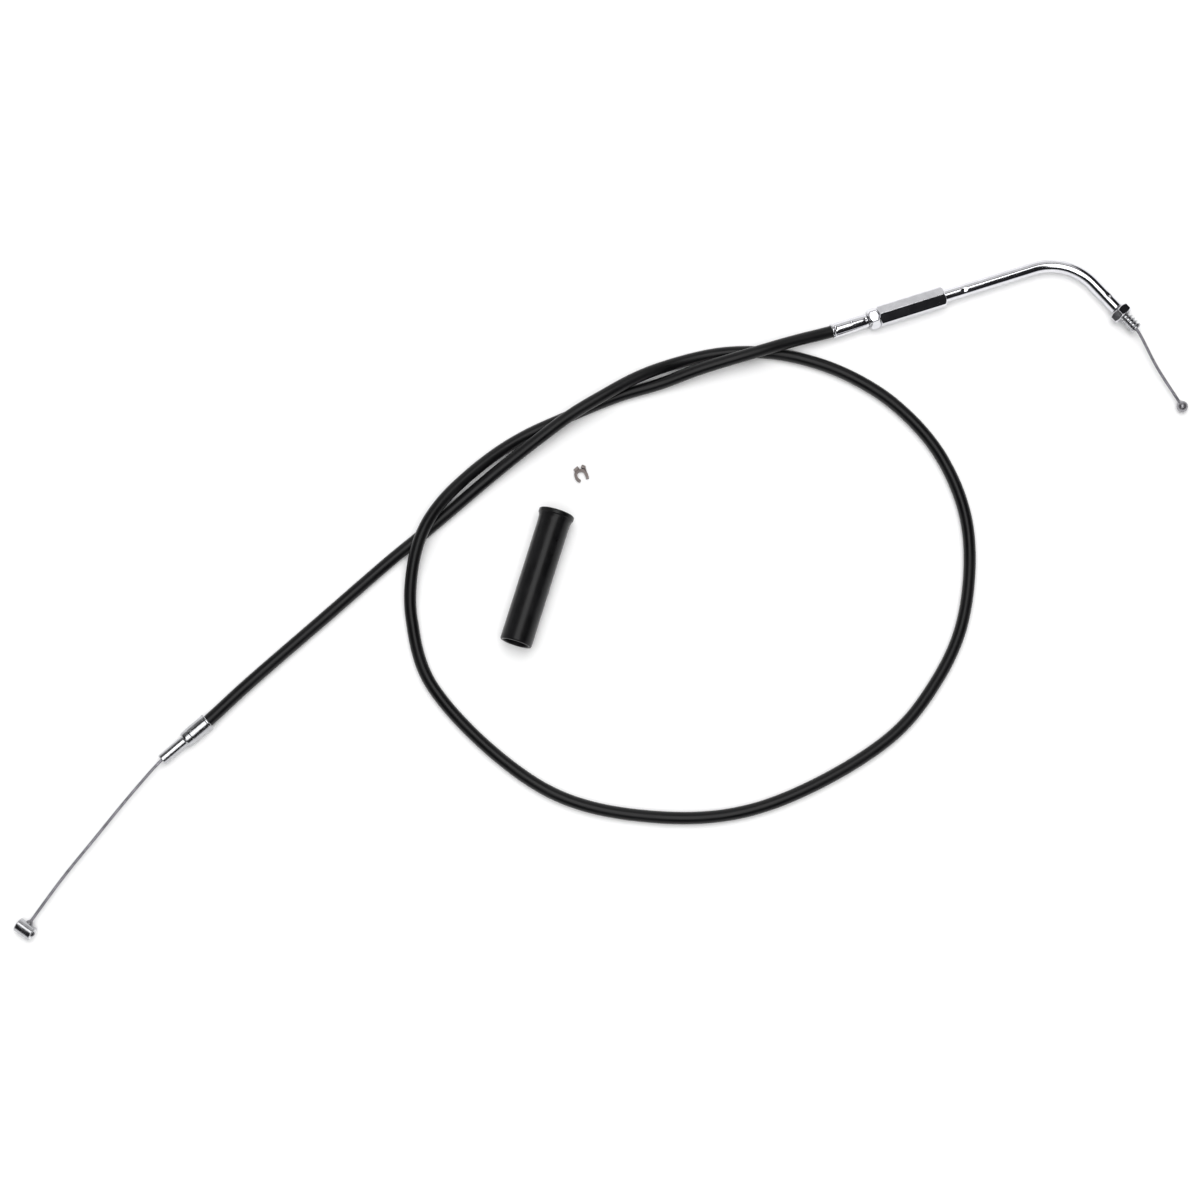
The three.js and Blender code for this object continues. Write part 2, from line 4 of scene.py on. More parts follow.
import bpy
import numpy as np
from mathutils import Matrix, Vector


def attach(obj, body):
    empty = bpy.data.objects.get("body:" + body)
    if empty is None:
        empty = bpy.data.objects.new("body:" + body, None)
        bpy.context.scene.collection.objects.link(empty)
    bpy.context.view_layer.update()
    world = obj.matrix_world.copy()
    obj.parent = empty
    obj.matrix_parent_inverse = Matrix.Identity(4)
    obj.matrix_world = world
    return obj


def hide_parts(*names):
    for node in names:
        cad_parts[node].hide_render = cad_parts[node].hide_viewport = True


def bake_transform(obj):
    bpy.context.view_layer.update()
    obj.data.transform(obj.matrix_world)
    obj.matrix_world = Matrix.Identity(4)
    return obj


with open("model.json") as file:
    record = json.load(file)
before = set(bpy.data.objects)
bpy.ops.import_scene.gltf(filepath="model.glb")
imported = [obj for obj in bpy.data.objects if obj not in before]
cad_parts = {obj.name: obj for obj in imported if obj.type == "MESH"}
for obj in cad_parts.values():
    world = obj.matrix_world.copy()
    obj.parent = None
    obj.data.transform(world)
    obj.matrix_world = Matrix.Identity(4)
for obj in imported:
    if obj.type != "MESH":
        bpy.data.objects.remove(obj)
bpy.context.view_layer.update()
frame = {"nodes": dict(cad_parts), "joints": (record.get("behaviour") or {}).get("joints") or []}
JOINTS = {j["name"]: j for j in frame["joints"]}
MM = 0.001


# ---------------------------------------------------------------- camera

def make_camera():
    """A view from 78 degrees above the floor, 1.25 m away."""
    target = Vector((-0.0044, -0.0024, 0.0))
    elevation = math.radians(78)
    away = Vector((0, -math.cos(elevation), math.sin(elevation)))
    data = bpy.data.cameras.new("camera")
    data.sensor_width = 36
    data.lens = 91.4
    data.clip_start = 0.01
    camera = bpy.data.objects.new("camera", data)
    camera.location = target + away * 1.25
    camera.rotation_euler = (target - camera.location).to_track_quat("-Z", "Y").to_euler()
    bpy.context.scene.collection.objects.link(camera)
    bpy.context.scene.camera = camera


make_camera()


# ---------------------------------------------------------------- curves and meshes

def catmull_rom(points, per_span=24):
    """The centripetal Catmull-Rom curve through the points, as an array of points."""
    p = [np.array(q, float) for q in points]
    p = [2 * p[0] - p[1], *p, 2 * p[-1] - p[-2]]
    out = []
    for i in range(1, len(p) - 2):
        gaps = [math.sqrt(np.linalg.norm(p[i + k] - p[i + k - 1])) for k in (0, 1, 2)]
        d0, d1, d2 = gaps
        t1 = ((p[i] - p[i - 1]) / d0 - (p[i + 1] - p[i - 1]) / (d0 + d1) + (p[i + 1] - p[i]) / d1) * d1
        t2 = ((p[i + 1] - p[i]) / d1 - (p[i + 2] - p[i]) / (d1 + d2) + (p[i + 2] - p[i + 1]) / d2) * d1
        for t in np.arange(per_span) / per_span:
            a, b = 2 * t**3 - 3 * t**2 + 1, t**3 - 2 * t**2 + t
            c, d = -2 * t**3 + 3 * t**2, t**3 - t**2
            out.append(a * p[i] + b * t1 + c * p[i + 1] + d * t2)
    out.append(p[-2])
    return np.array(out)


def lengths(path):
    """How far along the path each point lies."""
    return np.concatenate([[0], np.cumsum(np.linalg.norm(np.diff(path, axis=0), axis=1))])


def even(path, step):
    """The same path with points that lie a step apart."""
    s = lengths(path)
    count = max(2, int(round(s[-1] / step)) + 1)
    at = np.linspace(0, s[-1], count)
    return np.column_stack([np.interp(at, s, path[:, k]) for k in range(3)])


def unit(v):
    return v / np.linalg.norm(v)


def frames_along(path):
    """Two unit vectors across the path at each of its points, which turn with it and never twist."""
    tangents = np.gradient(path, axis=0)
    tangents /= np.linalg.norm(tangents, axis=1)[:, None]
    side = unit(np.cross(tangents[0], (0, 0, 1)))
    sides, ups = [], []
    for t in tangents:
        side = unit(side - t * np.dot(side, t))
        sides.append(side)
        ups.append(np.cross(side, t))
    return np.array(sides), np.array(ups)


def build(name, rings, flow, closed):
    """A mesh through rings of points. flow is each point's place on the straightened piece:
    along it, and across it in two directions, for the materials."""
    n, m = rings.shape[:2]
    last = n if closed else n - 1
    faces = [
        (i * m + j, i * m + (j + 1) % m, (i + 1) % n * m + (j + 1) % m, (i + 1) % n * m + j)
        for i in range(last)
        for j in range(m)
    ]
    if not closed:
        faces += [tuple(range(m))[::-1], tuple(range((n - 1) * m, n * m))]
    verts = rings.reshape(-1, 3)
    tri = [(f[0], f[k], f[k + 1]) for f in faces for k in range(1, len(f) - 1)]
    a, b, c = (verts[[t[k] for t in tri]] for k in range(3))
    if np.einsum("ij,ij->i", a, np.cross(b, c)).sum() < 0:
        faces = [f[::-1] for f in faces]
    mesh = bpy.data.meshes.new(name)
    mesh.from_pydata(verts.tolist(), [], faces)
    mesh.polygons.foreach_set("use_smooth", [len(f) == 4 for f in faces])
    attribute = mesh.attributes.new("flow", "FLOAT_VECTOR", "POINT")
    attribute.data.foreach_set("vector", flow.reshape(-1).astype(np.float32))
    mesh.update()
    piece = bpy.data.objects.new(name, mesh)
    bpy.context.scene.collection.objects.link(piece)
    return piece


def tube(name, path, radius_at, sides, bore=0.0):
    """A tube along a path. radius_at(s, angles) gives the outside radius, and bore the inside radius."""
    s = lengths(path)
    side, up = frames_along(path)
    angles = 2 * math.pi * np.arange(sides) / sides
    cos, sin = np.cos(angles)[:, None], np.sin(angles)[:, None]

    def ring(i, radii):
        across = cos * side[i] + sin * up[i]
        flat = np.column_stack([np.full(sides, s[i]), cos[:, 0] * radii, sin[:, 0] * radii])
        return path[i] + across * radii[:, None], flat

    made = [ring(i, radius_at(s[i], angles)) for i in range(len(path))]
    if bore:
        made += [ring(i, np.full(sides, bore)) for i in reversed(range(len(path)))]
    return build(name, np.array([r for r, _ in made]), np.array([f for _, f in made]), bool(bore))


def rounded(outline, radius=0.1, steps=4):
    """A closed outline of (radius, height) points in millimetres with its corners rounded off."""
    out = []
    count = len(outline)
    for i, corner in enumerate(outline):
        here = np.array(corner, float)
        before = np.array(outline[i - 1], float)
        after = np.array(outline[(i + 1) % count], float)
        if here[0] < 1e-6:
            out.append(tuple(here))
            continue
        a, b = unit(before - here), unit(after - here)
        opening = math.acos(max(-1, min(1, float(a @ b))))
        room = 0.4 * min(np.linalg.norm(before - here), np.linalg.norm(after - here))
        back = min(radius / math.tan(opening / 2), room)
        if opening > math.radians(174) or back < 1e-4:
            out.append(tuple(here))
            continue
        out.append(tuple(here + a * min(back * 1.6, room * 1.2)))
        first, last = here + a * back, here + b * back
        for t in np.linspace(0, 1, steps + 1):
            out.append(tuple((1 - t) ** 2 * first + 2 * t * (1 - t) * here + t**2 * last))
        out.append(tuple(here + b * min(back * 1.6, room * 1.2)))
    return out


def along(name, outline, start, axis, sides=72, shape=None, roll=0.0):
    """A piece of turned metal: a closed outline of (radius, height) points in millimetres,
    turned about an axis. shape(radius, height, angles) may give other radii, such as a flat or a dent."""
    axis = unit(np.array(axis, float))
    level = unit(np.cross(axis, (0, 0, 1)))
    third = np.cross(level, axis)
    angles = 2 * math.pi * np.arange(sides) / sides
    rings, flow = [], []
    for r, h in outline:
        radii = np.full(sides, float(r))
        heights = np.full(sides, float(h))
        if shape:
            radii, heights = shape(radii, heights, angles)
        turn = angles + roll
        x, y = radii * np.cos(turn), radii * np.sin(turn)
        rings.append(
            np.array(start) + MM * (x[:, None] * level - y[:, None] * third + heights[:, None] * axis)
        )
        flow.append(MM * np.column_stack([heights, x, y]))
    return build(name, np.array(rings), np.array(flow), True)


def soft_least(a, b, k):
    """The lesser of a and b, with the corner between them rounded by about k."""
    h = np.clip(0.5 + 0.5 * (b - a) / k, 0, 1)
    return b * (1 - h) + a * h - k * h * (1 - h)


def hexagon(flats, angles, edge=0.16):
    """The radius of a hexagon with slightly rounded corners. A corner is at angle 0."""
    folded = np.mod(angles, math.pi / 3)
    left = flats / 2 / np.cos(folded - math.pi / 6)
    corner = flats / math.sqrt(3)
    return soft_least(left, np.full_like(left, corner - edge * 0.6), edge)


def hex_angles(per_face=26):
    """Angles round a hexagon, closer together near its corners."""
    t = np.linspace(-1, 1, per_face, endpoint=False)
    inside = math.pi / 6 * (np.sign(t) * (1 - (1 - np.abs(t)) ** 2.2))
    return np.concatenate([math.pi / 6 + math.pi / 3 * k + inside for k in range(6)])


def hex_piece(name, flats, length, bore, low, high, start, axis, roll=0.0, sink=0.35, edge=0.16):
    """A hexagonal nut or sleeve with turned chamfers at both ends and a countersunk bore, in millimetres."""
    axis = unit(np.array(axis, float))
    level = unit(np.cross(axis, (0, 0, 1)))
    third = np.cross(level, axis)
    angles = hex_angles()
    corner = flats / math.sqrt(3)
    rim = flats / 2 - 0.1

    def radii(h):
        body = hexagon(flats, angles, edge)
        for reach, far in ((low, h), (high, length - h)):
            cone = np.full_like(body, rim + (corner - rim) * far / reach)
            body = soft_least(body, cone, 0.1)
        return body

    near = np.concatenate([np.linspace(0, 1, 14) ** 1.3 * low * 1.3, [low * 1.5]])
    far = length - np.concatenate([np.linspace(0, 1, 14) ** 1.3 * high * 1.3, [high * 1.5]])[::-1]
    middle = np.linspace(near[-1], far[0], 5)[1:-1]
    skin = [(radii(h), h) for h in np.concatenate([near, middle, far])]
    hole = bore / 2
    inside = [
        (rim - 0.25, length),
        (hole + sink + 0.05, length),
        (hole + sink, length - 0.02),
        (hole, length - sink),
        (hole, length - sink - 0.2),
        (hole, sink + 0.2),
        (hole, sink),
        (hole + sink, 0.02),
        (hole + sink + 0.05, 0),
        (rim - 0.25, 0),
    ]
    skin += [(np.full(len(angles), r), h) for r, h in inside]
    rings, flow = [], []
    for r, h in skin:
        x, y = r * np.cos(angles + roll), r * np.sin(angles + roll)
        rings.append(np.array(start) + MM * (x[:, None] * level - y[:, None] * third + h * axis))
        flow.append(MM * np.column_stack([np.full(len(angles), h), x, y]))
    return build(name, np.array(rings), np.array(flow), True)


def thread_shape(radius, depth, pitch, first, last):
    """Cuts a helical thread between two heights into the outside of a turned piece."""

    def shape(radii, heights, angles):
        inside = (radii > radius - 0.05) & (heights > first) & (heights < last)
        phase = np.mod(heights / pitch + angles / (2 * math.pi), 1)
        ridge = np.clip(1.2 - np.abs(phase - 0.5) * 4.2, 0, 1)
        ridge = ridge * ridge * (3 - 2 * ridge)
        ends = np.clip(np.minimum(heights - first, last - heights) / (0.6 * pitch), 0, 1)
        return np.where(inside, radii - depth * (1 - ridge) * ends, radii), heights

    return shape


# ---------------------------------------------------------------- materials

class Nodes:
    """Short names for making a node material."""

    def __init__(self, name):
        self.material = bpy.data.materials.new(name)
        self.material.use_nodes = True
        self.tree = self.material.node_tree
        self.shader = self.tree.nodes["Principled BSDF"]

    def link(self, a, b):
        self.tree.links.new(a, b)

    def new(self, kind, **values):
        node = self.tree.nodes.new(kind)
        for key, value in values.items():
            setattr(node, key, value)
        return node

    def flow(self):
        return self.new("ShaderNodeAttribute", attribute_name="flow").outputs["Vector"]

    def place(self):
        return self.new("ShaderNodeTexCoord").outputs["Object"]

    def scaled(self, source, scale):
        mapping = self.new("ShaderNodeMapping")
        mapping.inputs["Scale"].default_value = scale
        self.link(source, mapping.inputs["Vector"])
        return mapping.outputs["Vector"]

    def noise(self, source, scale, detail=3.0, rough=0.5, stretch=(1, 1, 1)):
        node = self.new("ShaderNodeTexNoise")
        node.inputs["Scale"].default_value = scale
        node.inputs["Detail"].default_value = detail
        node.inputs["Roughness"].default_value = rough
        self.link(self.scaled(source, stretch), node.inputs["Vector"])
        return node.outputs["Fac"]

    def math(self, operation, a, b):
        node = self.new("ShaderNodeMath", operation=operation)
        for socket, value in zip(node.inputs, (a, b)):
            if hasattr(value, "links"):
                self.link(value, socket)
            else:
                socket.default_value = value
        return node.outputs[0]

    def between(self, value, low, high, from_low=0.3, from_high=0.7):
        node = self.new("ShaderNodeMapRange")
        node.inputs["From Min"].default_value = from_low
        node.inputs["From Max"].default_value = from_high
        node.inputs["To Min"].default_value = low
        node.inputs["To Max"].default_value = high
        self.link(value, node.inputs["Value"])
        return node.outputs["Result"]

    def mix(self, factor, a, b):
        node = self.new("ShaderNodeMix", data_type="RGBA")
        self.link(factor, node.inputs[0])
        for socket, value in ((node.inputs[6], a), (node.inputs[7], b)):
            if hasattr(value, "links"):
                self.link(value, socket)
            else:
                socket.default_value = (*value, 1)
        return node.outputs[2]

    def worn(self, colour, edge_colour, low=0.53, high=0.6):
        """The colour, with another on the outer edges."""
        pointed = self.new("ShaderNodeNewGeometry").outputs["Pointiness"]
        return self.mix(self.between(pointed, 0, 1, low, high), colour, edge_colour)

    def shade_hollows(self, colour, hollow_shade, low=0.4, high=0.485):
        """The colour, with another painted into the grooves and inner corners as painted shade."""
        pointed = self.new("ShaderNodeNewGeometry").outputs["Pointiness"]
        return self.mix(self.between(pointed, 0, 1, low, high), hollow_shade, colour)

    def bump(self, *layers):
        """Height layers as (value, strength, distance in metres), each on top of the last."""
        normal = None
        for value, strength, distance in layers:
            node = self.new("ShaderNodeBump")
            node.inputs["Strength"].default_value = strength
            node.inputs["Distance"].default_value = distance
            self.link(value, node.inputs["Height"])
            if normal is not None:
                self.link(normal, node.inputs["Normal"])
            normal = node.outputs["Normal"]
        self.link(normal, self.shader.inputs["Normal"])

    def finish(self, colour, rough, metallic=0.0, **constants):
        self.link(colour, self.shader.inputs["Base Color"])
        self.link(rough, self.shader.inputs["Roughness"])
        self.shader.inputs["Metallic"].default_value = metallic
        for name, value in constants.items():
            self.shader.inputs[name.replace("_", " ")].default_value = value
        return self.material


def black_vinyl():
    n = Nodes("black_vinyl")
    at = n.flow()
    drawn = n.noise(at, 1, 2, 0.5, (9, 900, 900))
    cloud = n.noise(at, 1, 3, 0.6, (70, 260, 260))
    grain = n.noise(at, 1500, 2)
    ripple = n.new("ShaderNodeTexWave", wave_type="BANDS", bands_direction="X")
    ripple.inputs["Scale"].default_value = 95
    ripple.inputs["Distortion"].default_value = 1.2
    ripple.inputs["Detail"].default_value = 1.0
    n.link(at, ripple.inputs["Vector"])
    colour = n.mix(n.between(cloud, 0, 1), (0.0022, 0.0022, 0.0025), (0.0055, 0.0055, 0.006))
    scuffed = n.between(n.noise(at, 1, 4, 0.65, (30, 500, 500)), 0, 1, 0.66, 0.74)
    colour = n.mix(scuffed, colour, (0.016, 0.016, 0.018))
    rough = n.math("ADD", n.between(drawn, 0.24, 0.34), n.between(cloud, 0, 0.1))
    rough = n.math("ADD", rough, n.math("MULTIPLY", scuffed, 0.1))
    n.bump((drawn, 0.1, 0.00005), (ripple.outputs["Fac"], 0.06, 0.00006), (grain, 0.1, 0.00002))
    return n.finish(colour, rough, Specular_IOR_Level=0.28)


def chrome():
    n = Nodes("chrome")
    at = n.flow()
    haze = n.noise(at, 170, 4, 0.6)
    fine = n.noise(at, 4200, 2)
    swirl = n.noise(at, 1, 2, 0.5, (260, 2600, 2600))
    colour = n.mix(n.between(haze, 0, 1), (0.70, 0.70, 0.73), (0.82, 0.82, 0.85))
    colour = n.worn(colour, (0.9, 0.9, 0.92), 0.54, 0.62)
    rough = n.math("ADD", n.between(haze, 0.05, 0.13), n.between(swirl, 0, 0.05))
    n.bump((haze, 0.04, 0.0001), (swirl, 0.03, 0.00001), (fine, 0.03, 0.000006))
    return n.finish(colour, rough, 1.0)


def zinc():
    n = Nodes("zinc")
    at = n.flow()
    rings = n.noise(at, 1, 2, 0.6, (5200, 60, 60))
    blotch = n.noise(at, 420, 4, 0.6)
    grain = n.noise(at, 2600, 2)
    colour = n.mix(n.between(blotch, 0, 1), (0.42, 0.42, 0.435), (0.56, 0.565, 0.58))
    # The near-black is painted shade in the grooves and inner corners, where shade falls, not dirt.
    colour = n.shade_hollows(n.worn(colour, (0.82, 0.82, 0.83)), (0.035, 0.035, 0.04))
    rough = n.math("ADD", n.between(rings, 0.12, 0.22), n.between(blotch, 0, 0.1))
    n.bump((blotch, 0.05, 0.0001), (rings, 0.14, 0.00001), (grain, 0.06, 0.00001))
    return n.finish(colour, rough, 1.0)


def solder():
    n = Nodes("solder")
    at = n.flow()
    lumps = n.noise(at, 620, 3, 0.55)
    frost = n.noise(at, 3200, 3, 0.6)
    tarnish = n.noise(at, 900, 4, 0.7)
    colour = n.mix(n.between(tarnish, 0, 1), (0.27, 0.265, 0.285), (0.45, 0.445, 0.465))
    rough = n.math("ADD", n.between(lumps, 0.26, 0.4), n.between(frost, 0, 0.12))
    n.bump((lumps, 0.3, 0.0002), (frost, 0.12, 0.00002))
    return n.finish(colour, rough, 1.0)


def steel_wire():
    n = Nodes("steel_wire")
    at = n.flow()
    drawn = n.noise(at, 1, 3, 0.6, (600, 5000, 5000))
    film = n.noise(at, 260, 3, 0.6)
    colour = n.mix(n.between(film, 0, 1), (0.20, 0.195, 0.215), (0.36, 0.35, 0.385))
    colour = n.worn(colour, (0.5, 0.49, 0.54), 0.5, 0.62)
    rough = n.math("ADD", n.between(drawn, 0.2, 0.34), n.between(film, 0, 0.1))
    n.bump((drawn, 0.15, 0.00001))
    return n.finish(colour, rough, 1.0)


def black_rubber():
    n = Nodes("black_rubber")
    at = n.flow()
    drawn = n.noise(at, 1, 3, 0.55, (14, 420, 420))
    cloud = n.noise(at, 150, 4, 0.6)
    grain = n.noise(at, 2300, 3)
    dust = n.between(n.noise(at, 5200, 1), 0, 1, 0.735, 0.77)
    colour = n.mix(n.between(cloud, 0, 1), (0.0022, 0.0022, 0.0025), (0.006, 0.006, 0.0065))
    colour = n.worn(colour, (0.016, 0.016, 0.017))
    colour = n.mix(dust, colour, (0.09, 0.09, 0.09))
    rough = n.math("ADD", n.between(drawn, 0.25, 0.36), n.between(cloud, 0, 0.08))
    n.bump((drawn, 0.16, 0.0001), (cloud, 0.05, 0.0001), (grain, 0.12, 0.00002))
    return n.finish(colour, rough, Specular_IOR_Level=0.3)


def clip_steel():
    n = Nodes("clip_steel")
    at = n.place()
    oil = n.noise(at, 900, 4, 0.65)
    rolled = n.noise(at, 1, 2, 0.5, (900, 5200, 900))
    colour = n.mix(n.between(oil, 0, 1), (0.05, 0.042, 0.04), (0.15, 0.125, 0.12))
    colour = n.worn(colour, (0.24, 0.21, 0.2))
    rough = n.math("ADD", n.between(oil, 0.34, 0.5), n.between(rolled, 0, 0.1))
    n.bump((rolled, 0.15, 0.00002), (oil, 0.08, 0.00004))
    return n.finish(colour, rough, 1.0)


def white_liner():
    n = Nodes("white_liner")
    at = n.place()
    cloud = n.noise(at, 300, 3)
    grain = n.noise(at, 2400, 2)
    colour = n.mix(n.between(cloud, 0, 1), (0.74, 0.73, 0.69), (0.86, 0.85, 0.82))
    rough = n.between(grain, 0.36, 0.5)
    n.bump((grain, 0.1, 0.00002))
    return n.finish(colour, rough)


def spring_steel():
    n = Nodes("spring_steel")
    at = n.place()
    turns = n.new("ShaderNodeTexWave", wave_type="BANDS", bands_direction="DIAGONAL")
    turns.inputs["Scale"].default_value = 240
    turns.inputs["Distortion"].default_value = 0.4
    n.link(at, turns.inputs["Vector"])
    scale = n.noise(at, 700, 4, 0.6)
    colour = n.mix(n.between(scale, 0, 1), (0.28, 0.28, 0.29), (0.48, 0.48, 0.49))
    rough = n.between(scale, 0.3, 0.48)
    n.bump((turns.outputs["Fac"], 0.5, 0.0002), (scale, 0.1, 0.00005))
    return n.finish(colour, rough, 1.0)


FINISHES = {
    make.__name__: make()
    for make in (
        black_vinyl, chrome, zinc, solder, steel_wire,
        black_rubber, clip_steel, white_liner, spring_steel,
    )
}


def dress(piece, finish, body, *nodes):
    """Gives a piece its material, its body and the CAD nodes that it stands for."""
    piece.data.materials.append(FINISHES[finish])
    if body:
        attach(piece, body)
    if nodes:
        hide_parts(*nodes)
    return piece


# ---------------------------------------------------------------- places

CARB_AXIS = np.array((-math.cos(math.radians(41.1)), -math.sin(math.radians(41.1)), 0))
CARB_MOUTH = np.array((-0.1635, -0.0534, 0.00355))
NOSE_TIP = CARB_MOUTH + CARB_AXIS * 0.0243
BARREL_CENTRE = np.array((-0.2344, -0.1377, 0.00295))

ADJUSTER_AXIS = unit(np.array(JOINTS["adjuster_travel"]["axis"]))
SLEEVE_CENTRE = np.array(JOINTS["adjuster_turn"]["pos_m"])
EXIT_AXIS = unit(np.array(JOINTS["lock_nut_turn"]["axis"]))


def on_adjuster(s):
    """A point on the adjuster's axis, s millimetres from the middle of its hexagonal sleeve."""
    return SLEEVE_CENTRE + ADJUSTER_AXIS * s * MM


# Along the adjuster, in millimetres from the middle of its hexagonal sleeve.
GAP = 0.3
SLEEVE_LENGTH = 29
NUT_THICK = 4
FERRULE_LENGTH = 16
STUD_REACH = 3.6  # how far the stud goes into the ferrule
SLEEVE_START = -SLEEVE_LENGTH / 2
NUT_START = SLEEVE_START - GAP - NUT_THICK
FERRULE_END = NUT_START - GAP
FERRULE_START = FERRULE_END - FERRULE_LENGTH
STUD_START = FERRULE_END - STUD_REACH
CONDUIT_END = -22.98

BEND_RADIUS = 0.0234
BEND_ANGLE = math.radians(66.5)
FIRST_STRAIGHT = 39.7  # millimetres, from the hexagonal sleeve to the bend
LAST_STRAIGHT = 0.0144  # metres, from the bend to the end of the tube
TUBE_BEFORE_BEND = 0.0418  # metres, from the start of the tube to the bend
BEND_START = on_adjuster(SLEEVE_LENGTH / 2 + FIRST_STRAIGHT)
BEND_SIDE = np.array((ADJUSTER_AXIS[1], -ADJUSTER_AXIS[0], 0))
ARC = BEND_RADIUS * BEND_ANGLE


def on_elbow(s):
    """A point on the elbow's middle line, s metres past the start of its bend."""
    if s <= 0:
        return BEND_START + ADJUSTER_AXIS * s
    turn = min(s, ARC) / BEND_RADIUS
    tangent = ADJUSTER_AXIS * math.cos(turn) + BEND_SIDE * math.sin(turn)
    chord = ADJUSTER_AXIS * math.sin(turn) + BEND_SIDE * (1 - math.cos(turn))
    return BEND_START + BEND_RADIUS * chord + tangent * max(0, s - ARC)


TUBE_END = on_elbow(ARC + LAST_STRAIGHT)
THREAD_TIP = TUBE_END + EXIT_AXIS * 0.0118
BALL_CENTRE = np.array((0.2373, 0.0792, 0.002375))

LIE = 0.00256
CONDUIT_ROUTE = [
    on_adjuster(CONDUIT_END),
    on_adjuster(FERRULE_START),
    (0.0760, 0.1062, 0.0064),
    (0.0609, 0.1012, 0.0081),
    (0.0370, 0.0942, 0.0063),
    (0.0203, 0.0886, 0.0034),
    (0.0037, 0.0837, 0.00265),
    (-0.0170, 0.0750, 0.0027),
    (-0.0377, 0.0650, 0.0030),
    (-0.0541, 0.0530, 0.0046),
    (-0.0703, 0.0362, 0.0070),
    (-0.0778, 0.0226, 0.0080),
    (-0.0816, 0.0062, 0.0052),
    (-0.0814, -0.0110, 0.0028),
    (-0.0728, -0.0386, LIE),
    (-0.0260, -0.0815, LIE),
    (0.0180, -0.0924, LIE),
    (0.0596, -0.0887, LIE),
    (0.1117, -0.0613, LIE),
    (0.1317, -0.0381, LIE),
    (0.1440, -0.0113, LIE),
    (0.1468, 0.0280, LIE),
    (0.1366, 0.0577, LIE),
    (0.1185, 0.0795, LIE),
    (0.0986, 0.0927, LIE),
    (0.0786, 0.1000, LIE),
    (0.0612, 0.1026, 0.0026),
    (0.0453, 0.1020, LIE),
    (0.0286, 0.0980, 0.0033),
    (0.0120, 0.0912, 0.0061),
    (-0.0044, 0.0816, 0.0079),
    (-0.0170, 0.0737, 0.0078),
    (-0.0293, 0.0644, 0.0071),
    (-0.0460, 0.0515, 0.0046),
    (-0.0781, 0.0240, LIE),
    (-0.0897, 0.0142, LIE),
    (-0.1180, -0.0113, LIE),
    (-0.1480, -0.0384, 0.0029),
    tuple(CARB_MOUTH),
    tuple(CARB_MOUTH + CARB_AXIS * 0.0106),
]
CARB_WIRE_ROUTE = [
    tuple(NOSE_TIP - CARB_AXIS * 0.006),
    tuple(NOSE_TIP),
    (-0.1940, -0.0836, 0.0033),
    (-0.2070, -0.1002, 0.0031),
    (-0.2206, -0.1178, 0.0030),
    tuple(BARREL_CENTRE),
]
BALL_WIRE_ROUTE = [
    tuple(THREAD_TIP - EXIT_AXIS * 0.006),
    tuple(THREAD_TIP),
    (0.2273, 0.0956, 0.0036),
    tuple(BALL_CENTRE),
]


# ---------------------------------------------------------------- the conduit and the bare wires

def jacket():
    path = even(catmull_rom(CONDUIT_ROUTE), 0.0022)

    def radius(s, angles):
        ripple = 0.00001 * math.sin(s * 410) + 0.000012 * math.sin(s * 97 + 1)
        oval = 0.000012 * np.cos(2 * angles + s * 31)
        return 0.0025 + ripple + oval

    piece = tube("jacket", path, radius, 32, bore=0.00195)
    return dress(piece, "black_vinyl", "conduit", "outer_jacket"), path


STRANDS = 12
STRAND_LAY = 0.0095  # how far along the wire a strand goes once round it
WIRE_CUT = 0.0008  # how far short of its route's last point a bare wire ends


def stranded(name, route):
    """A wire of outer strands laid in a long helix."""
    path = even(catmull_rom(route, 60), 0.0004)
    s = lengths(path)
    path = path[s < s[-1] - WIRE_CUT]

    def radius(s_here, angles):
        phase = np.mod(STRANDS * (angles / (2 * math.pi) + s_here / STRAND_LAY), 1)
        return 0.000515 + 0.000085 * np.sqrt(np.clip(1 - (2 * phase - 1) ** 2, 0, 1))

    piece = tube(name, path, radius, 72)
    piece.data.materials.append(FINISHES["steel_wire"])
    return piece, path


jacket_piece, jacket_path = jacket()
barrel_wire, barrel_wire_path = stranded("barrel_wire", CARB_WIRE_ROUTE)
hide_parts("inner_wire_carburetor_end")
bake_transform(barrel_wire)
ball_wire, ball_wire_path = stranded("ball_wire", BALL_WIRE_ROUTE)
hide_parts("inner_wire_handlebar_end")
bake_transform(ball_wire)


# ---------------------------------------------------------------- carburettor end

def dent(height, angle, deep, wide, tall):
    """A dent in the outside of a turned piece, in millimetres: wide along it and tall round it."""

    def shape(radii, heights, angles):
        around = np.angle(np.exp(1j * (angles - angle))) * radii
        out = radii - deep * np.exp(-(((heights - height) / wide) ** 2 + (around / tall) ** 2))
        return np.where(radii > 2.72, out, radii), heights

    return shape


def chain(*shapes):
    """Several shapes, one after the other."""

    def shape(radii, heights, angles):
        for one in shapes:
            radii, heights = one(radii, heights, angles)
        return radii, heights

    return shape


def dense(outline, step=0.35):
    """The outline with more points on its long stretches, for shapes to act on."""
    out = []
    for i, here in enumerate(outline):
        after = outline[(i + 1) % len(outline)]
        count = max(1, int(math.hypot(after[0] - here[0], after[1] - here[1]) / step))
        for k in range(count):
            t = k / count
            out.append((here[0] + (after[0] - here[0]) * t, here[1] + (after[1] - here[1]) * t))
    return out


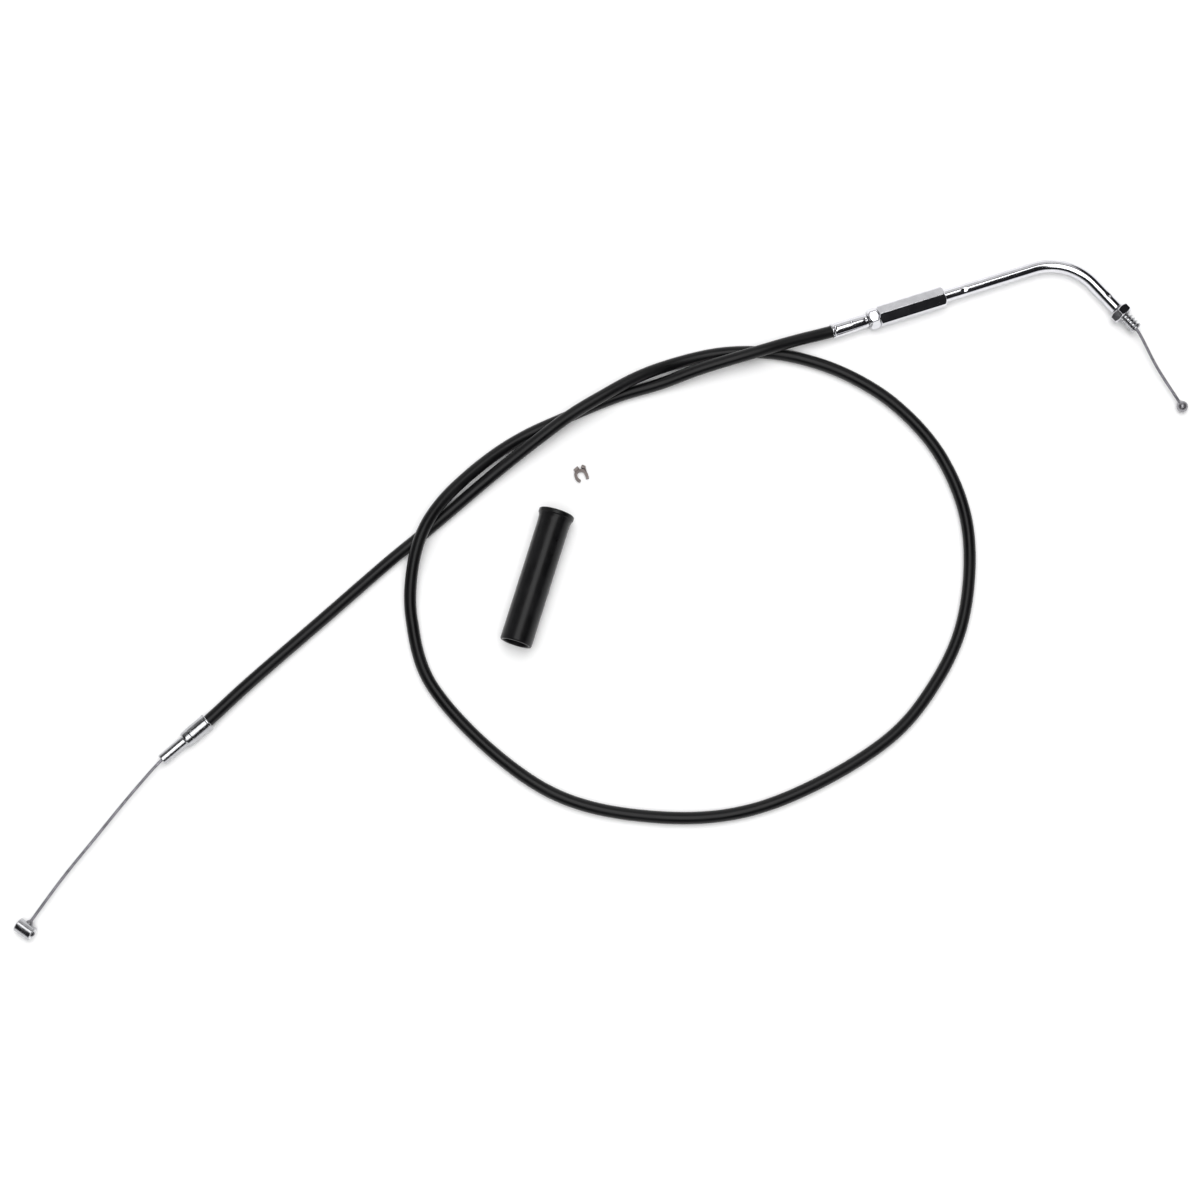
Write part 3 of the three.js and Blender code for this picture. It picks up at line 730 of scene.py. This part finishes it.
def carburettor_ferrule():
    outline = rounded(
        [
            (2.85, 0), (3.35, 0), (3.55, 0.22), (3.55, 0.75), (3.4, 1.05),
            (3.4, 8.9), (3.25, 9.25), (3.25, 11.2), (3.14, 11.75), (2.87, 12.13),
            (2.48, 12.3), (2.25, 12.3), (2.22, 23.9), (1.9, 24.3), (1.4, 24.3),
            (1.4, 10.9), (2.8, 10.9), (2.8, 0.3),
        ],
        0.16,
    )
    piece = along("carburettor_ferrule", outline, CARB_MOUTH, CARB_AXIS, 96)
    return dress(piece, "zinc", "conduit", "carburetor_ferrule")


def barrel_end():
    """A turned drum across the wire, and the cone of solder that holds the wire in it."""
    last = np.array(CARB_WIRE_ROUTE[-2])
    wire = unit((BARREL_CENTRE - last) * (1, 1, 0))
    across = unit(np.cross((0, 0, 1), wire))
    outline = [(0, -3.8), (2.6, -3.8), (2.95, -3.45), (2.95, 3.45), (2.6, 3.8), (0, 3.8)]
    outline = rounded(outline, 0.14)
    outline = [p for p in outline if p[0] > 0.02 or p == outline[0]][1:]
    piece = along("barrel_drum", outline, BARREL_CENTRE, across, 96)
    dress(piece, "zinc", "barrel", "barrel_end")
    cone = rounded([(0.62, 0.3), (1.7, 0.3), (1.55, 2.95), (1.15, 3.85), (0.85, 4.1), (0.62, 4.15)], 0.25)

    def lumpy(radii, heights, angles):
        bump = 0.06 * np.sin(3 * angles + 1) * np.sin(heights * 1.9) + 0.03 * np.sin(7 * angles)
        return np.where(radii > 0.7, radii + bump * (heights > 2.9), radii), heights

    collar = along("barrel_solder", dense(cone, 0.2), BARREL_CENTRE, -wire, 48, lumpy)
    dress(collar, "solder", "barrel")
    return piece, collar


# ---------------------------------------------------------------- adjuster and elbow

CRIMP_SPREAD = 2.1  # the angle between the three dents of a crimp


def adjuster_ferrule():
    outline = rounded(
        [
            (2.75, 0), (3.2, 0), (3.35, 0.3), (3.33, 0.8), (3.07, 1.1), (3.05, 8.8),
            (2.82, 14.7), (2.7, 15.4), (2.35, 16), (2.15, 16), (2.15, 12.7), (2.7, 11.9),
        ],
        0.3,
    )
    top = 1.5 * math.pi
    crimps = ((1.5, 0.0, 0.5, 0.7), (8.6, -0.2, 0.35, 0.45), (14.6, 0.06, 0.45, 0.55))
    marks = [
        dent(height, top + turn, deep, 0.4, tall)
        for height, offset, deep, tall in crimps
        for turn in (offset, offset + CRIMP_SPREAD, offset - CRIMP_SPREAD)
    ]
    start = on_adjuster(FERRULE_START)
    piece = along(
        "adjuster_ferrule_shell", dense(outline, 0.2), start, ADJUSTER_AXIS, 120, chain(*marks)
    )
    return dress(piece, "chrome", "conduit", "adjuster_ferrule")


def adjuster_stud():
    outline = [(1.4, 0.15), (1.85, 0.15), (1.85, 3.75), (2.45, 3.95)]
    outline += [(2.45, h) for h in np.arange(4.05, 26.7, 0.08)]
    outline += [(2.45, 26.75), (2.05, 27.1), (1.4, 27.1)]
    shape = thread_shape(2.45, 0.4, 0.8, 3.95, 26.7)
    piece = along("stud", outline, on_adjuster(STUD_START), ADJUSTER_AXIS, 32, shape)
    return dress(piece, "zinc", "conduit", "adjuster_stud")


def nuts():
    jam = hex_piece("jam_nut_body", 8, NUT_THICK, 5.5, 1.0, 1.0, on_adjuster(NUT_START), ADJUSTER_AXIS)
    dress(jam, "chrome", "jam_nut", "jam_nut")
    start = on_adjuster(SLEEVE_START)
    sleeve = hex_piece(
        "hex_sleeve", 8, SLEEVE_LENGTH, 5.8, 0.5, 0.9, start, ADJUSTER_AXIS, math.radians(30), sink=0.25
    )
    dress(sleeve, "chrome", "adjuster", "hex_adjuster")
    lock_start = TUBE_END + EXIT_AXIS * 0.0006
    lock = hex_piece(
        "lock_nut_body", 8.4, 3.6, 6.0, 0.6, 0.6, lock_start, EXIT_AXIS, math.radians(-12), edge=0.05
    )
    dress(lock, "chrome", "lock_nut", "lock_nut")


def elbow():
    first, last = -TUBE_BEFORE_BEND, ARC + LAST_STRAIGHT
    count = 150
    path = np.array([on_elbow(first + (last - first) * i / count) for i in range(count + 1)])
    marks = [
        (at, 0.5 * math.pi + offset + turn, 0.0005, 0.0006)
        for at, offset in ((TUBE_BEFORE_BEND - 0.0313, -0.25), (last - first - 0.0064, 0.3))
        for turn in (0, CRIMP_SPREAD, -CRIMP_SPREAD)
    ]

    def radius(s, angles):
        r = np.full(len(angles), 0.0026)
        for at, angle, deep, wide in marks:
            around = np.angle(np.exp(1j * (angles - angle))) * 0.0026
            r = r - deep * np.exp(-(((s - at) / wide) ** 2 + (around / wide) ** 2))
        return r

    piece = tube("elbow_shell", path, radius, 64, bore=0.0021)
    return dress(piece, "chrome", "elbow", "elbow_tube")


def threaded_end():
    outline = [(1.35, -9), (1.8, -9), (1.8, -0.02), (2.6, 0), (2.7, 0.1)]
    outline += [(2.7, h) for h in np.arange(0.2, 10.9, 0.1)]
    outline += [(2.65, 11.0), (2.05, 11.45), (2.0, 11.5), (1.4, 11.5), (1.35, 11.45)]
    shape = thread_shape(2.7, 0.66, 1.5, 0.6, 11.4)
    piece = along("threaded_tip", outline, TUBE_END + EXIT_AXIS * 0.0003, EXIT_AXIS, 72, shape)
    return dress(piece, "zinc", "elbow", "threaded_end")


def ball_end():
    """A cast ball with a small collar where the wire goes in, and a slightly uneven skin."""
    wire = unit((THREAD_TIP - BALL_CENTRE) * (1, 1, 0))
    outline = []
    for a in np.linspace(-89, 62, 44):
        outline.append((2.375 * math.cos(math.radians(a)), 2.375 * math.sin(math.radians(a))))
    outline += [(1.05, 2.24), (0.95, 2.42), (0.75, 2.52), (0.64, 2.5), (0.62, 1.2)]

    def uneven(radii, heights, angles):
        wave = 1 - 0.012 * (1 + np.sin(3 * angles + heights * 1.4) * np.cos(2 * angles - heights * 2.1)) / 2
        return radii * wave, heights * wave

    piece = along("ball_body", outline, BALL_CENTRE, wire, 64, uneven)
    return dress(piece, "solder", "ball", "ball_end")


# ---------------------------------------------------------------- loose pieces

def rubber_sleeve():
    top = np.array((-0.022, 0.0327, 0.00748))
    bottom = np.array((-0.0387, -0.0218, 0.00673))
    outline = rounded(
        [
            (5.55, 0), (7.1, 0), (7.47, 0.35), (7.45, 1.7), (7.15, 2.1), (6.8, 3.2), (6.66, 5),
            (6.66, 30), (6.7, 56.4), (6.45, 57), (5.5, 57), (5.2, 56.6), (5.2, 0.5),
        ],
        0.3,
        5,
    )

    def soft(radii, heights, angles):
        sag = 0.05 * np.cos(2 * angles) * np.exp(-heights / 20) + 0.04 * np.sin(3 * angles + 1)
        return radii + (sag - 0.05) * (radii > 5.9), heights

    piece = along("rubber_sleeve", dense(outline, 1.2), top, bottom - top, 96, soft)
    return dress(piece, "black_rubber", "sleeve", "adjuster_sleeve")


def clip():
    """The CAD's bent spring clip (two ears, a ring that is open at the bottom, and two feet turned inwards),
    given the clip steel and softly bevelled edges.
    """
    node = frame["nodes"]["retaining_clip"]
    node.data.materials.clear()
    node.data.materials.append(FINISHES["clip_steel"])
    bevel = node.modifiers.new("soft edges", "BEVEL")
    bevel.width = 0.00016
    bevel.segments = 3
    bevel.limit_method = "ANGLE"
    bevel.angle_limit = math.radians(40)


ferrule_piece = carburettor_ferrule()
barrel_piece, barrel_collar = barrel_end()
adjuster_ferrule()
adjuster_stud()
nuts()
elbow()
threaded_end()
ball_piece = ball_end()
rubber_sleeve()
clip()

INSIDE = {
    "conduit_winding": "spring_steel",
    "conduit_liner": "white_liner",
    "inner_wire_core": "steel_wire",
    "swivel_bush": "zinc",
    "elbow_liner": "white_liner",
    "inner_wire_in_elbow": "steel_wire",
}
for node_name, finish in INSIDE.items():
    inner = frame["nodes"][node_name]
    inner.data.materials.clear()
    inner.data.materials.append(FINISHES[finish])


# ---------------------------------------------------------------- floor and light

def floor():
    mesh = bpy.data.meshes.new("floor")
    half, below = 8, -0.0001
    corners = [(-half, -half, below), (half, -half, below), (half, half, below), (-half, half, below)]
    mesh.from_pydata(corners, [], [(0, 1, 2, 3)])
    plane = bpy.data.objects.new("floor", mesh)
    bpy.context.scene.collection.objects.link(plane)
    n = Nodes("floor")
    paper = n.noise(n.place(), 40, 3)
    colour = n.mix(n.between(paper, 0, 1), (0.94, 0.94, 0.94), (0.96, 0.96, 0.96))
    plane.data.materials.append(n.finish(colour, n.between(paper, 0.75, 0.85)))


def area_light(name, place, target, size, power):
    data = bpy.data.lights.new(name, "AREA")
    data.shape = "RECTANGLE"
    data.size, data.size_y = size
    data.energy = power
    lamp = bpy.data.objects.new(name, data)
    lamp.location = place
    lamp.rotation_euler = (Vector(target) - Vector(place)).to_track_quat("-Z", "Y").to_euler()
    bpy.context.scene.collection.objects.link(lamp)


def fill_light(strength):
    """A soft light from above that reaches the whole floor and doesn't show in shiny surfaces."""
    data = bpy.data.lights.new("fill", "SUN")
    data.energy = strength
    data.angle = math.radians(80)
    lamp = bpy.data.objects.new("fill", data)
    lamp.visible_glossy = False
    bpy.context.scene.collection.objects.link(lamp)


def sky():
    """A pale horizon with a dark room above it."""
    world = bpy.data.worlds.new("studio")
    bpy.context.scene.world = world
    world.use_nodes = True
    tree = world.node_tree
    split = tree.nodes.new("ShaderNodeSeparateXYZ")
    tree.links.new(tree.nodes.new("ShaderNodeTexCoord").outputs["Generated"], split.inputs[0])
    height = tree.nodes.new("ShaderNodeValToRGB")
    height.color_ramp.elements[0].position = 0.1
    height.color_ramp.elements[0].color = (0.8, 0.8, 0.82, 1)
    height.color_ramp.elements[1].position = 0.22
    height.color_ramp.elements[1].color = (0.015, 0.015, 0.017, 1)
    tree.links.new(split.outputs["Z"], height.inputs[0])
    tree.links.new(height.outputs["Color"], tree.nodes["Background"].inputs["Color"])
    tree.nodes["Background"].inputs["Strength"].default_value = 1.0


bpy.context.scene.view_settings.view_transform = "Standard"
floor()
sky()
area_light("overhead", (0.0, -0.17, 1.6), (0, -0.17, 0), (1.0, 1.85), 14)
fill_light(2.1)
area_light("back", (-0.1, 1.4, 0.75), (-0.1, 0, 0.2), (1.7, 1.5), 5.5)
area_light("left", (-1.35, 1.05, 0.75), (-0.2, 0, 0.2), (0.8, 1.2), 0.6)
